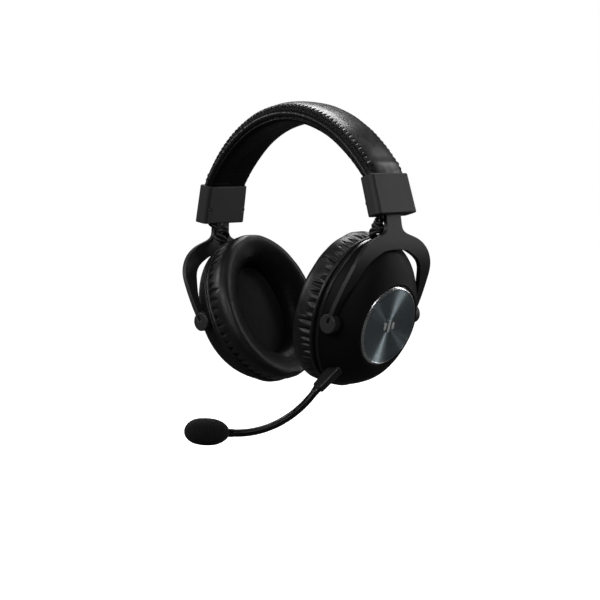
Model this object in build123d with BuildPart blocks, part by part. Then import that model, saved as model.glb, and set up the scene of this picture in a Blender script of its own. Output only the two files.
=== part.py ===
from build123d import *
import os
from math import acos, asin, cos, degrees, hypot, pi, radians, sin

# Over-ear gaming headset with a plug-in boom microphone, in millimetres.
# Frame: +X is the wearer's left, -Y is the wearer's front, +Z is up.
# The origin is the lowest point of the headband's padded underside at the crown,
# which is where the headset rests on a head or a peg.
# Left-hand pieces are modelled at +X and mirrored about X = 0 for the right.

os.makedirs("parts", exist_ok=True)

# ---------------------------------------------------------------- driving dimensions
# Headband: an elliptical seam line in XZ, with padding outside and inside it.
seam_half_span = 96.0
seam_rise = 131.0
arch_centre_z = -121.6
crown_pad_in = 9.4          # padding from the seam line to the head
crown_pad_out = 5.6         # padding from the seam line to the top
end_pad_in = 5.0
end_pad_out = 3.0
band_half_width = 19.0
spring_lift = -3.6          # spring band, measured from the seam line
spring_thick = 0.9
spring_half_width = 10.0

# End blocks, where the sliders leave the headband.
block_lean = 13.0
block_x, block_z = 75.45, -51.7
block_half_height = 13.4
block_half_thick = 5.45
block_top_half_width = 19.9
block_bottom_half_width = 20.7
block_wall = 1.55

# Slider and fork: one bent aluminium plate that runs on a wide arc in its block.
slider_radius = 130.0
slider_offset = -0.2        # slider's middle surface from the block's middle plane
plate_thick = 3.0
stem_half_width = 7.6
stem_above_mouth = 32.0     # length of slider held above the block's mouth
slider_travel_in = 7.0
bend_radius = 45.0
arm_lean = -29.0
fork_reach_y = 46.0         # outer edge of the fork's arms at the pivots

# Ear cups: local x is +Y, local y is up the cup, local z is outward.
cup_tilt = 19.0
pivot_x, pivot_z = 57.0, -132.8
cap_radius = 6.5
cap_inner_y = 40.7
barrel_outer_y = 40.5
pin_radius = 2.0
running_gap = 0.05

rim_s = -7.5                # cup shell's open edge
rim_a, rim_b = 43.0, 51.5
rim_rise = 1.5              # the rim's middle is above the pivot line
nose_s = 15.0               # cup shell's outer end, where the disc sits
nose_radius = 28.9
shell_wall = 2.2
disc_radius = 27.4
disc_seat = 13.7
driver_radius = 25.3

pad_face_s = -29.0
pad_back_s = -11.0
pad_a, pad_b = 47.2, 52.8
pad_back_a, pad_back_b = 44.4, 51.2
pad_hole_a, pad_hole_b = 22.5, 31.5
pad_rise = 0.8

# Microphone: its plug leaves the left cup low at the front.
mic_exit_x, mic_exit_y = -26.4, -34.85
mic_dir_x, mic_dir_y = -0.77, -0.638
mic_s = -1.0
boot_length = 17.9
boom_radius = 2.5
boom_arc_radius = 72.0
boom_start_slope = -46.7
boom_end_slope = 8.5
boom_heading = 18.0         # degrees inward from straight ahead
boom_joint_lengths = (4.0, 24.0, 44.0, 64.0)
boom_arc_length = boom_arc_radius * radians(boom_end_slope - boom_start_slope)
neck_length = 5.0
neck_radius = 2.7
foam_radius = 8.45
foam_length = 29.6
capsule_inset = 3.5

# ---------------------------------------------------------------- reference planes
lean = radians(block_lean)
tilt = radians(cup_tilt)
block_plane = Plane(
    origin=(block_x, 0, block_z), x_dir=(0, 1, 0), z_dir=(cos(lean), 0, sin(lean))
)
cup_plane = Plane(
    origin=(pivot_x, 0, pivot_z), x_dir=(0, 1, 0), z_dir=(cos(tilt), 0, -sin(tilt))
)


def save(piece, name):
    """Label a finished piece and write it to its own STEP file."""
    piece.part.label = name
    export_step(piece.part, f"parts/{name}.step")


def save_pair(piece, name):
    """Write the left-hand piece and its mirror image for the right."""
    save(piece, f"{name}_left")
    with BuildPart() as twin:
        mirror(objects=piece.part, about=Plane.YZ)
    save(twin, f"{name}_right")


def arch_point(angle, lift):
    """Point of the headband arch in XZ, lift mm outside the seam line."""
    nx, nz = cos(angle) / seam_half_span, sin(angle) / seam_rise
    n = hypot(nx, nz)
    x = seam_half_span * cos(angle) + lift * nx / n
    z = arch_centre_z + seam_rise * sin(angle) + lift * nz / n
    return (x, z)


def block_point(up, out):
    """Point of the left block in XZ, from its middle."""
    p = block_plane.from_local_coords((0, up, out))
    return (p.X, p.Z)


def mirrored(points):
    """The same outline points on the -X side, in reverse order."""
    return [(-x, z) for x, z in reversed(points)]


# Slider arc: its centre lies far inside the headband's arch.
slider_cx = block_x - (slider_radius - slider_offset) * cos(lean)
slider_cz = block_z - (slider_radius - slider_offset) * sin(lean)
mouth_angle = asin((block_point(-block_half_height, slider_offset)[1] - slider_cz) / slider_radius)
stem_top_angle = mouth_angle + stem_above_mouth / slider_radius
arm_angle = radians(arm_lean)
arm_reach = (pivot_x - slider_cx) * cos(arm_angle) + (pivot_z - slider_cz) * sin(arm_angle)
bend_angle = arm_angle + acos((arm_reach - bend_radius) / (slider_radius - bend_radius))
bend_cx = slider_cx + (slider_radius - bend_radius) * cos(bend_angle)
bend_cz = slider_cz + (slider_radius - bend_radius) * sin(bend_angle)


def slider_arc(side, start, end):
    """Arc of the slider's path in XZ, side mm outside its middle surface."""
    return CenterArc(
        (slider_cx, slider_cz), slider_radius + side, degrees(start), degrees(end - start)
    )


def slider_band(half_thick, half_width, start, end):
    """Solid that follows the slider's arc from one angle to another."""
    with BuildPart() as band:
        with BuildSketch(Plane.XZ):
            with BuildLine():
                outer = slider_arc(half_thick, start, end)
                inner = slider_arc(-half_thick, start, end)
                Line(outer @ 0, inner @ 0)
                Line(outer @ 1, inner @ 1)
            make_face()
        extrude(amount=half_width, both=True)
    return band.part


# ---------------------------------------------------------------- headband
first_angle = radians(34)
last_angle = pi - first_angle
arch_steps = 14


def arch_line(inner, extra=0.0):
    """Outline points of the padded band, fuller at the crown than at its ends."""
    points = []
    for i in range(arch_steps + 1):
        share = i / arch_steps
        angle = first_angle + share * (last_angle - first_angle)
        fullness = sin(pi * share) ** 0.6
        if inner:
            lift = -(end_pad_in + (crown_pad_in - end_pad_in) * fullness) - extra
        else:
            lift = end_pad_out + (crown_pad_out - end_pad_out) * fullness + extra
        points.append(arch_point(angle, lift))
    return points


def spring_line(side):
    """Points along the spring band's surface, side mm outside its middle."""
    inside = [block_point(u, v + side) for u, v in ((2, -3.15), (8, -3.1), (13.6, -3.3))]
    over = [arch_point(radians(a), spring_lift + side) for a in range(47, 134, 9)]
    ends = mirrored(inside)
    return inside + over + ends


def spring_band(half_thick, half_width):
    """The spring band, or the slot it lies in."""
    with BuildPart() as band:
        with BuildSketch(Plane.XZ):
            with BuildLine():
                outer = Spline(spring_line(half_thick))
                inner = Spline(spring_line(-half_thick))
                Line(outer @ 0, inner @ 0)
                Line(outer @ 1, inner @ 1)
            make_face()
        extrude(amount=half_width, both=True)
    return band.part


with BuildPart() as headband_spring:
    add(spring_band(spring_thick / 2, spring_half_width))
save(headband_spring, "headband_spring")

lead_wire_thick = 1.2
lead_wire_y = -13.5
lead_wire_lift = -2.0
with BuildPart() as headband_wire:
    with BuildSketch(Plane.XZ.offset(-lead_wire_y)):
        with BuildLine():
            edges = []
            for side in (lead_wire_thick / 2, -lead_wire_thick / 2):
                spots = [arch_point(radians(a), lead_wire_lift + side) for a in range(42, 139, 8)]
                edges.append(Spline(spots))
            Line(edges[0] @ 0, edges[1] @ 0)
            Line(edges[0] @ 1, edges[1] @ 1)
        make_face()
    extrude(amount=0.9, both=True)
save(headband_wire, "headband_wire")

block_cut = block_half_height + 0.2
with BuildPart() as headband_pad:
    with BuildSketch(Plane.XZ):
        with BuildLine():
            top = Spline(arch_line(False))
            under = Spline(arch_line(True))
            Line(top @ 0, under @ 0)
            Line(top @ 1, under @ 1)
        make_face()
    extrude(amount=band_half_width, both=True)
    rims = headband_pad.edges().filter_by(lambda e: abs(abs(e.center().Y) - band_half_width) < 0.01)
    fillet(rims.filter_by(lambda e: e.length > 60), radius=3.4)
    above = Plane(block_plane.from_local_coords((0, block_cut, 0)), z_dir=block_plane.y_dir)
    split(bisect_by=above, keep=Keep.TOP)
    twin_normal = (-block_plane.y_dir.X, 0, block_plane.y_dir.Z)
    twin_origin = (-above.origin.X, 0, above.origin.Z)
    split(bisect_by=Plane(twin_origin, z_dir=twin_normal), keep=Keep.TOP)
    add(spring_band(spring_thick / 2 + 0.1, spring_half_width + 0.3), mode=Mode.SUBTRACT)
    pocket = slider_band(
        plate_thick / 2 + 0.3,
        stem_half_width + 0.5,
        mouth_angle,
        stem_top_angle + (slider_travel_in + 1.0) / slider_radius,
    )
    add(pocket, mode=Mode.SUBTRACT)
    mirror(objects=pocket, about=Plane.YZ, mode=Mode.SUBTRACT)
    add(headband_wire.part, mode=Mode.SUBTRACT)
save(headband_pad, "headband_pad")

# ---------------------------------------------------------------- end blocks
with BuildPart() as block_body:
    with BuildSketch(block_plane.offset(-block_half_thick)):
        with BuildLine():
            Polyline(
                (-block_bottom_half_width, -block_half_height),
                (block_bottom_half_width, -block_half_height),
                (block_top_half_width, block_half_height),
                (-block_top_half_width, block_half_height),
                close=True,
            )
        make_face()
    extrude(amount=2 * block_half_thick)
    corners = block_body.edges().filter_by(
        lambda e: abs((e % 0.5).dot(block_plane.y_dir)) > 0.9
    )
    fillet(corners, radius=3.0)
    fillet(
        block_body.edges().filter_by(lambda e: abs((e % 0.5).dot(block_plane.y_dir)) < 0.5),
        radius=0.9,
    )

cavity_half_width = 14.6
with BuildPart() as block_cavity:
    with BuildSketch(block_plane.offset(-block_half_thick + block_wall)):
        Rectangle(2 * cavity_half_width, 2 * (block_half_height - block_wall))
    extrude(amount=2 * (block_half_thick - block_wall))
    # window in the top wall for the spring band, the wire and the slider
    with BuildSketch(block_plane.offset(-block_half_thick + block_wall)):
        with Locations((0, block_half_height)):
            Rectangle(2 * cavity_half_width, 2 * block_wall + 1)
    extrude(amount=2 * (block_half_thick - block_wall) - 0.9)
    # mouth in the bottom wall
    add(slider_band(plate_thick / 2 + 0.25, stem_half_width + 0.35, mouth_angle - 0.02, stem_top_angle))

screw_x = 17.3
with BuildPart() as block_screw_holes:
    with BuildSketch(block_plane.offset(-block_half_thick)):
        with Locations((-screw_x, -4), (screw_x, -4)):
            Circle(1.1)
    extrude(amount=8.5)
    with BuildSketch(block_plane.offset(-block_half_thick)):
        with Locations((-screw_x, -4), (screw_x, -4)):
            Circle(2.0)
    extrude(amount=1.6)

with BuildPart() as block_outer:
    add(block_body.part)
    add(block_cavity.part, mode=Mode.SUBTRACT)
    add(block_screw_holes.part, mode=Mode.SUBTRACT)
    split(bisect_by=block_plane, keep=Keep.TOP)
save_pair(block_outer, "block_outer")

# The cup's lead leaves the block's bottom wall beside the slider.
lead_exit_x, lead_exit_out = -10.5, -1.6
with BuildPart() as block_inner:
    add(block_body.part)
    add(block_cavity.part, mode=Mode.SUBTRACT)
    add(block_screw_holes.part, mode=Mode.SUBTRACT)
    split(bisect_by=block_plane, keep=Keep.BOTTOM)
    # pry notch at the rear edge
    with BuildSketch(block_plane.offset(-block_half_thick)):
        with Locations((block_bottom_half_width - 0.6, -3.4)):
            Rectangle(2.4, 3.6)
    extrude(amount=1.6, mode=Mode.SUBTRACT)
    exit_plane = Plane(
        block_plane.from_local_coords((lead_exit_x, -block_half_height, lead_exit_out)),
        z_dir=block_plane.y_dir,
    )
    with BuildSketch(exit_plane.offset(-1)):
        Circle(1.25)
    extrude(amount=3.0, mode=Mode.SUBTRACT)
save_pair(block_inner, "block_inner")

with BuildPart() as block_screws:
    for side in (-screw_x, screw_x):
        with BuildSketch(block_plane.offset(-block_half_thick + 0.2)):
            with Locations((side, -4)):
                Circle(1.9)
                RegularPolygon(0.8, 6, mode=Mode.SUBTRACT)
        extrude(amount=1.4)
        with BuildSketch(block_plane.offset(-block_half_thick + 1.6)):
            with Locations((side, -4)):
                Circle(1.1)
        extrude(amount=6.8)
    mirror(about=Plane.YZ)
save(block_screws, "block_screws")

guide_half_width = 13.6
with BuildPart() as slider_guide:
    with BuildSketch(block_plane.offset(-1.9)):
        with Locations((0, -0.5)):
            Rectangle(2 * guide_half_width, 22.0)
    extrude(amount=5.7)
    add(
        slider_band(plate_thick / 2 + 0.15, stem_half_width + 0.15, 0, stem_top_angle + 0.2),
        mode=Mode.SUBTRACT,
    )
    # open towards the spring band
    with BuildSketch(block_plane.offset(-2.0)):
        Rectangle(2 * (spring_half_width + 0.5), 30)
    extrude(amount=2.0, mode=Mode.SUBTRACT)
    # slot for the click spring beside the slider
    with BuildSketch(block_plane.offset(-2.0)):
        with Locations((9.1, 0)):
            Rectangle(3.4, 15.0)
    extrude(amount=4.6, mode=Mode.SUBTRACT)
save_pair(slider_guide, "slider_guide")

with BuildPart() as click_springs:
    with BuildSketch(block_plane.offset(-1.2)):
        with BuildLine():
            Polyline(
                (10.05, -1.4),
                (10.05, -7.3),
                (10.55, -7.3),
                (10.55, 7.3),
                (10.05, 7.3),
                (10.05, 1.4),
            )
            ThreePointArc((10.05, 1.4), (8.65, 0), (10.05, -1.4))
        make_face()
    extrude(amount=3.4)
    mirror(about=Plane.YZ)
save(click_springs, "click_springs")

# ---------------------------------------------------------------- slider and fork
with BuildPart() as fork_plate:
    with BuildSketch(Plane.XZ):
        with BuildLine():
            edges = []
            for side in (plate_thick / 2, -plate_thick / 2):
                stem_arc = slider_arc(side, stem_top_angle, bend_angle)
                bend_arc = CenterArc(
                    (bend_cx, bend_cz),
                    bend_radius + side,
                    degrees(bend_angle),
                    degrees(arm_angle - bend_angle),
                )
                foot = (pivot_x + side * cos(arm_angle), pivot_z + side * sin(arm_angle))
                Line(bend_arc @ 1, foot)
                edges.append((stem_arc @ 0, foot))
            Line(edges[0][0], edges[1][0])
            Line(edges[0][1], edges[1][1])
        make_face()
    extrude(amount=60, both=True)
    # outline seen from the side: stem, shoulders and two tapering arms
    with BuildSketch(Plane.YZ):
        with BuildLine():
            for s in (1, -1):
                Line((s * stem_half_width, -10), (s * stem_half_width, -71))
                Spline(
                    (s * stem_half_width, -71),
                    (s * 12.5, -77.3),
                    tangents=((0, -1), (s * 0.93, -0.36)),
                )
                Spline(
                    (s * 12.5, -77.3),
                    (s * 23.4, -80.9),
                    (s * 33.6, -87.4),
                    (s * 39.8, -95.8),
                    (s * 43.3, -106.0),
                    (s * 45.4, -119.0),
                    (s * fork_reach_y, -140.0),
                    tangents=((s * 0.93, -0.36), (0, -1)),
                )
                Line((s * fork_reach_y, -140.0), (s * 41.1, -140.0))
                Spline(
                    (s * 41.1, -140.0),
                    (s * 40.9, -127.0),
                    (s * 38.6, -116.0),
                    (s * 33.6, -105.5),
                    (s * 28.0, -97.0),
                    (s * 16.0, -90.0),
                    (0, -87.6),
                    tangents=((0, 1), (-s, 0)),
                )
            Line((stem_half_width, -10), (-stem_half_width, -10))
        make_face()
    extrude(amount=120, mode=Mode.INTERSECT)
    # adjustment notches along both edges of the slider
    with BuildSketch(Plane.YZ):
        for i in range(9):
            angle = mouth_angle + (4.0 + 3.0 * i) / slider_radius
            z = slider_cz + slider_radius * sin(angle)
            with Locations((stem_half_width + 0.9, z), (-stem_half_width - 0.9, z)):
                Circle(1.5)
    extrude(amount=120, mode=Mode.SUBTRACT)
save_pair(fork_plate, "fork")

with BuildPart() as pivot_caps:
    for s in (1, -1):
        cap_plane = Plane(origin=(pivot_x, s * cap_inner_y, pivot_z), z_dir=(0, s, 0))
        with BuildSketch(cap_plane):
            Circle(cap_radius)
        extrude(amount=fork_reach_y - cap_inner_y)
    chamfer(
        pivot_caps.edges().filter_by(lambda e: abs(abs(e.center().Y) - fork_reach_y) < 0.01),
        length=0.6,
    )
    add(fork_plate.part, mode=Mode.SUBTRACT)
    for s in (1, -1):
        cap_plane = Plane(origin=(pivot_x, s * (cap_inner_y - 1), pivot_z), z_dir=(0, s, 0))
        with BuildSketch(cap_plane):
            Circle(pin_radius)
        extrude(amount=4.4, mode=Mode.SUBTRACT)
save_pair(pivot_caps, "pivot_caps")

with BuildPart() as pivot_pins:
    for s in (1, -1):
        pin_plane = Plane(origin=(pivot_x, s * 36.0, pivot_z), z_dir=(0, s, 0))
        with BuildSketch(pin_plane):
            Circle(pin_radius)
        extrude(amount=cap_inner_y + 3.3 - 36.0)
    add(fork_plate.part, mode=Mode.SUBTRACT)
save_pair(pivot_pins, "pivot_pins")

# ---------------------------------------------------------------- ear cups
cup_sections = (
    (rim_s, rim_a, rim_b, rim_rise),
    (-1.0, 40.2, 49.4, 2.4),
    (6.0, 36.6, 45.0, 2.4),
    (11.5, 32.4, 37.8, 0.7),
    (nose_s, nose_radius, nose_radius + 0.01, 0.0),
)


def cup_loft(inset, first_s, last_s):
    """Cup's outer form made smaller by inset; its ends lie at first_s and last_s."""
    with BuildPart() as form:
        for s, a, b, rise in cup_sections:
            level = min(max(s, first_s), last_s)
            with BuildSketch(cup_plane.offset(level)):
                with Locations((0, rise)):
                    Ellipse(b - inset, a - inset, rotation=90)
        loft()
    return form.part


def oval(a, b):
    """Upright oval about the rim's middle, to be used in a sketch."""
    with Locations((0, rim_rise)):
        return Ellipse(b, a, rotation=90)


boss_points = [(sx * 31.0, sy * 21.5 + rim_rise) for sx in (1, -1) for sy in (1, -1)]
with BuildPart() as cup_hollow:
    add(cup_loft(shell_wall, rim_s, 11.4))
    with BuildSketch(cup_plane.offset(-6.6)):
        with Locations(*boss_points):
            Circle(3.0)
    extrude(amount=20, mode=Mode.SUBTRACT)
    for s in (1, -1):
        ear_plane = Plane(origin=(pivot_x, s * 33.0, pivot_z), z_dir=(0, s, 0))
        with BuildSketch(ear_plane):
            Circle(cap_radius)
        extrude(amount=10, mode=Mode.SUBTRACT)


def cup_shell(extra_cut=None):
    """Hollow cup with its pivot barrels, disc seat and screw bosses."""
    with BuildPart() as shell:
        add(cup_loft(0, rim_s, nose_s))
        for s in (1, -1):
            ear_plane = Plane(origin=(pivot_x, s * 33.0, pivot_z), z_dir=(0, s, 0))
            with BuildSketch(ear_plane):
                Circle(cap_radius)
            extrude(amount=barrel_outer_y - 33.0)
        add(cup_hollow.part, mode=Mode.SUBTRACT)
        with BuildSketch(cup_plane.offset(disc_seat)):
            Circle(disc_radius + 0.3)
        extrude(amount=5, mode=Mode.SUBTRACT)
        with BuildSketch(cup_plane.offset(-6.6)):
            with Locations(*boss_points):
                Circle(1.1)
        extrude(amount=6.5, mode=Mode.SUBTRACT)
        for s in (1, -1):
            bore_plane = Plane(origin=(pivot_x, s * 35.0, pivot_z), z_dir=(0, s, 0))
            with BuildSketch(bore_plane):
                Circle(pin_radius + running_gap)
            extrude(amount=8, mode=Mode.SUBTRACT)
            # room for the pivot cap that turns beside the barrel
            relief_plane = Plane(origin=(pivot_x, s * barrel_outer_y, pivot_z), z_dir=(0, s, 0))
            with BuildSketch(relief_plane):
                Circle(cap_radius + 0.7)
            extrude(amount=8, mode=Mode.SUBTRACT)
        # cable entry on top of the cup
        with BuildSketch(lead_entry_plane.offset(2.0)):
            Circle(grommet_radius)
        extrude(amount=-14, mode=Mode.SUBTRACT)
        if extra_cut:
            add(extra_cut, mode=Mode.SUBTRACT)
    return shell


# Lead from the block to the cup: a curly cord, as its fat outer tube.
lead_radius = 4.2
lead_core_radius = 0.95
grommet_radius = 2.4
lead_entry_plane = Plane(
    origin=cup_plane.from_local_coords((-7.0, 51.5, -4.4)), z_dir=cup_plane.y_dir
)
with BuildPart() as grommet:
    with BuildSketch(lead_entry_plane.offset(-6.0)):
        Circle(grommet_radius)
        Circle(1.1, mode=Mode.SUBTRACT)
    extrude(amount=6.8)
save_pair(grommet, "lead_grommet")

lead_start = block_plane.from_local_coords((lead_exit_x, -12.4, lead_exit_out))
lead_below = block_plane.from_local_coords((lead_exit_x, -14.6, lead_exit_out))
coil_top = block_plane.from_local_coords((-8.6, -17.6, -7.0))
coil_end = lead_entry_plane.from_local_coords((0, 0, 5.8))
coil_mid = (coil_top + coil_end) / 2 + Vector(-3.2, 0, 0)
with BuildPart() as coiled_lead:
    with BuildLine() as coil_path:
        ThreePointArc(coil_top, coil_mid, coil_end)
    with BuildSketch(Plane(coil_path.line @ 0, z_dir=coil_path.line % 0)):
        Circle(lead_radius)
    sweep()
    # plain ends: one up into the block, one down through the grommet
    with BuildLine() as tail_path:
        FilletPolyline(lead_start, lead_below, coil_path.line @ 0.16, radius=2.5)
    with BuildSketch(Plane(lead_start, z_dir=lead_below - lead_start)):
        Circle(lead_core_radius)
    sweep(path=tail_path.line)
    with BuildSketch(lead_entry_plane.offset(-5.0)):
        Circle(lead_core_radius)
    extrude(amount=12.0)
save_pair(coiled_lead, "coiled_lead")

# Sockets in the left cup.
mic_dir = cup_plane.from_local_coords((mic_dir_x, mic_dir_y, 0)) - cup_plane.origin
mic_exit = cup_plane.from_local_coords((mic_exit_x, mic_exit_y, mic_s))
mic_plane = Plane(origin=mic_exit, x_dir=cup_plane.z_dir, z_dir=mic_dir)
jack_radius = 1.8
jack_depth = 14.0
jack_plane = Plane(
    origin=cup_plane.from_local_coords((8.0, -44.4, -1.5)), z_dir=-cup_plane.y_dir
)
with BuildPart() as left_cup_cuts:
    with BuildSketch(mic_plane.offset(-14)):
        RectangleRounded(9.8, 7.6, 1.5)
    extrude(amount=20)
    with BuildSketch(jack_plane.offset(-8)):
        Circle(4.1)
    extrude(amount=12)

left_shell = cup_shell(left_cup_cuts.part)
save(left_shell, "cup_shell_left")
right_shell_at_left = cup_shell()
with BuildPart() as right_shell:
    mirror(objects=right_shell_at_left.part, about=Plane.YZ)
save(right_shell, "cup_shell_right")

with BuildPart() as jack_socket:
    with BuildSketch(jack_plane.offset(-jack_depth - 2)):
        Circle(4.0)
    extrude(amount=jack_depth + 2.0)
    with BuildSketch(jack_plane.offset(-jack_depth)):
        Circle(jack_radius)
    extrude(amount=jack_depth, mode=Mode.SUBTRACT)
save(jack_socket, "jack_socket")

mic_socket_depth = 12.0
with BuildPart() as mic_socket:
    with BuildSketch(mic_plane.offset(-mic_socket_depth - 1.5)):
        RectangleRounded(9.4, 7.2, 1.4)
    extrude(amount=mic_socket_depth)
    with BuildSketch(mic_plane.offset(-mic_socket_depth + 0.5)):
        Circle(1.85)
    extrude(amount=mic_socket_depth, mode=Mode.SUBTRACT)
save(mic_socket, "mic_socket")

with BuildPart() as circuit_board:
    with BuildSketch(cup_plane.offset(4.6)):
        with Locations((0, -33.0)):
            Rectangle(24, 10)
    extrude(amount=1.2)
    with BuildSketch(cup_plane.offset(5.8)):
        with Locations((-7, -33), (2, -33)):
            Rectangle(4, 4)
    extrude(amount=1.0)
save(circuit_board, "circuit_board")

with BuildPart() as disc:
    with BuildSketch(Plane(cup_plane.origin, x_dir=cup_plane.x_dir, z_dir=-cup_plane.y_dir)):
        with BuildLine():
            Polyline(
                (0, disc_seat),
                (disc_radius, disc_seat),
                (disc_radius, disc_seat + 1.3),
                (disc_radius - 1.2, disc_seat + 2.3),
                (8.0, disc_seat + 1.5),
                (0, disc_seat + 1.5),
                close=True,
            )
        make_face()
    revolve(axis=Axis(cup_plane.origin, cup_plane.z_dir))
save_pair(disc, "disc")

badge_s = disc_seat + 1.5
with BuildPart() as badge:
    with BuildSketch(cup_plane.offset(badge_s)):
        for x, height in ((-4.2, 5.0), (0, 9.0), (4.2, 5.0)):
            with Locations((x, 0)):
                SlotOverall(height, 2.2, rotation=90)
    extrude(amount=0.35)
save_pair(badge, "level_mark")

baffle_a, baffle_b = 39.0, 47.5
with BuildPart() as baffle:
    with BuildSketch(cup_plane.offset(-9.0)):
        oval(baffle_a, baffle_b)
        Circle(driver_radius + 0.3, mode=Mode.SUBTRACT)
    extrude(amount=2.2)
    with BuildSketch(cup_plane.offset(-9.0)):
        with Locations(*boss_points):
            Circle(1.25)
    extrude(amount=2.2, mode=Mode.SUBTRACT)
    with BuildSketch(cup_plane.offset(-9.0)):
        with Locations(*boss_points):
            Circle(2.7)
    extrude(amount=1.2, mode=Mode.SUBTRACT)
save_pair(baffle, "baffle")

with BuildPart() as cup_screws:
    for x, y in boss_points:
        with BuildSketch(cup_plane.offset(-8.95)):
            with Locations((x, y)):
                Circle(2.5)
                RegularPolygon(1.1, 6, mode=Mode.SUBTRACT)
        extrude(amount=1.1)
        with BuildSketch(cup_plane.offset(-7.85)):
            with Locations((x, y)):
                Circle(1.1)
        extrude(amount=7.6)
save_pair(cup_screws, "cup_screws")

with BuildPart() as trim_ring:
    with BuildSketch(cup_plane.offset(-8.9)):
        oval(rim_a + 0.9, rim_b + 0.9)
    extrude(amount=1.35)
    chamfer(trim_ring.edges().filter_by(GeomType.ELLIPSE), length=0.4)
    with BuildSketch(cup_plane.offset(-8.9)):
        oval(baffle_a + 0.3, baffle_b + 0.3)
    extrude(amount=1.35, mode=Mode.SUBTRACT)
save_pair(trim_ring, "trim_ring")

with BuildPart() as pad_ring:
    with BuildSketch(cup_plane.offset(-10.9)):
        oval(rim_a + 0.2, rim_b)
    extrude(amount=1.8)
    with BuildSketch(cup_plane.offset(-10.9)):
        Ellipse(35.0, 27.0, rotation=90)
    extrude(amount=1.8, mode=Mode.SUBTRACT)
save_pair(pad_ring, "pad_ring")

# The pad's side wall is narrow where it meets the cup and full at the wearer's side.
with BuildPart() as ear_pad:
    with BuildSketch(cup_plane.offset(pad_back_s)):
        with Locations((0, pad_rise)):
            Ellipse(pad_back_b, pad_back_a, rotation=90)
    with BuildSketch(cup_plane.offset(pad_face_s)):
        Ellipse(pad_b, pad_a, rotation=90)
    loft()
    face_edge = ear_pad.edges().filter_by(
        lambda e: abs(cup_plane.to_local_coords(e @ 0).Z - pad_face_s) < 0.1
    )
    fillet(face_edge, radius=5.0)
    with BuildSketch(cup_plane.offset(pad_face_s - 1)):
        Ellipse(pad_hole_b, pad_hole_a, rotation=90)
    extrude(amount=pad_back_s - pad_face_s + 2, mode=Mode.SUBTRACT)
    mouth = ear_pad.edges().filter_by(
        lambda e: abs(cup_plane.to_local_coords(e @ 0).Z - pad_face_s) < 0.1
        and hypot(*tuple(cup_plane.to_local_coords(e @ 0))[:2]) < pad_hole_b + 1
    )
    fillet(mouth, radius=5.0)
save_pair(ear_pad, "ear_pad")

with BuildPart() as driver_frame:
    with BuildSketch(cup_plane.offset(-8.9)):
        Circle(driver_radius)
        Circle(driver_radius - 3.0, mode=Mode.SUBTRACT)
    extrude(amount=4.4)
    with BuildSketch(cup_plane.offset(-4.5)):
        Circle(driver_radius)
        Circle(13.2, mode=Mode.SUBTRACT)
    extrude(amount=2.0)
save_pair(driver_frame, "driver_frame")

with BuildPart() as driver_magnet:
    with BuildSketch(cup_plane.offset(-4.4)):
        Circle(13.0)
    extrude(amount=6.8)
    chamfer(driver_magnet.edges().group_by(Axis(cup_plane.origin, cup_plane.z_dir))[-1], length=0.8)
save_pair(driver_magnet, "driver_magnet")

cone_line = ((22.1, -8.6), (11.5, -5.6), (8.0, -6.7), (4.0, -7.6), (0, -7.9))
with BuildPart() as diaphragm:
    with BuildSketch(Plane(cup_plane.origin, x_dir=cup_plane.x_dir, z_dir=-cup_plane.y_dir)):
        with BuildLine():
            Polyline(*cone_line, *[(r, s + 0.4) for r, s in reversed(cone_line)], close=True)
        make_face()
    revolve(axis=Axis(cup_plane.origin, cup_plane.z_dir))
save_pair(diaphragm, "diaphragm")

with BuildPart() as driver_grille:
    with BuildSketch(cup_plane.offset(-10.0)):
        Circle(26.4)
        Circle(1.4, mode=Mode.SUBTRACT)
        for ring, count in ((5.5, 6), (11.0, 12), (16.5, 18), (22.0, 24)):
            with PolarLocations(ring, count):
                Circle(1.4, mode=Mode.SUBTRACT)
    extrude(amount=0.9)
save_pair(driver_grille, "driver_grille")

# ---------------------------------------------------------------- microphone
with BuildPart() as mic_plug:
    with BuildSketch(mic_plane.offset(-mic_socket_depth + 1.2)):
        Circle(1.75)
    extrude(amount=mic_socket_depth - 2.5)
save(mic_plug, "mic_plug")

# Boom: an arc in an upright plane that heads forwards and inwards.
heading = radians(boom_heading)
boot_end = mic_plane.from_local_coords((0, 0, boot_length))
boom_plane = Plane(
    origin=boot_end, x_dir=(-sin(heading), -cos(heading), 0), z_dir=(-cos(heading), sin(heading), 0)
)
start_slope = radians(boom_start_slope)
arc_cx = -boom_arc_radius * sin(start_slope)
arc_cz = boom_arc_radius * cos(start_slope)


def boom_point(length):
    """Point of the boom's centreline, in its own plane."""
    slope = start_slope + length / boom_arc_radius
    return (arc_cx + boom_arc_radius * sin(slope), arc_cz - boom_arc_radius * cos(slope))


def boom_frame(length):
    """Plane across the boom at a length along it, facing the microphone."""
    slope = start_slope + length / boom_arc_radius
    x, z = boom_point(length)
    ahead = boom_plane.from_local_coords((cos(slope), sin(slope), 0)) - boom_plane.origin
    return Plane(boom_plane.from_local_coords((x, z, 0)), x_dir=boom_plane.z_dir, z_dir=ahead)


ball_radius = 1.6
end_gap = 0.9


def boom_length(first, last, socket_at_start, ball_at_end):
    """One length of gooseneck, with a ball socket at its start or a ball at its end."""
    begin = first + end_gap if socket_at_start else first
    finish = last - end_gap if ball_at_end else last
    with BuildPart() as piece:
        with BuildLine(boom_plane):
            middle = (begin + finish) / 2
            ThreePointArc(boom_point(begin), boom_point(middle), boom_point(finish))
        with BuildSketch(boom_frame(begin)):
            Circle(boom_radius)
        sweep()
        if socket_at_start:
            with Locations(boom_frame(first)):
                Sphere(ball_radius + running_gap, mode=Mode.SUBTRACT)
        if ball_at_end:
            with BuildSketch(boom_frame(finish - 0.5)):
                Circle(0.8)
            extrude(amount=end_gap + 0.5)
            with Locations(boom_frame(last)):
                Sphere(ball_radius)
    return piece.part


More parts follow.
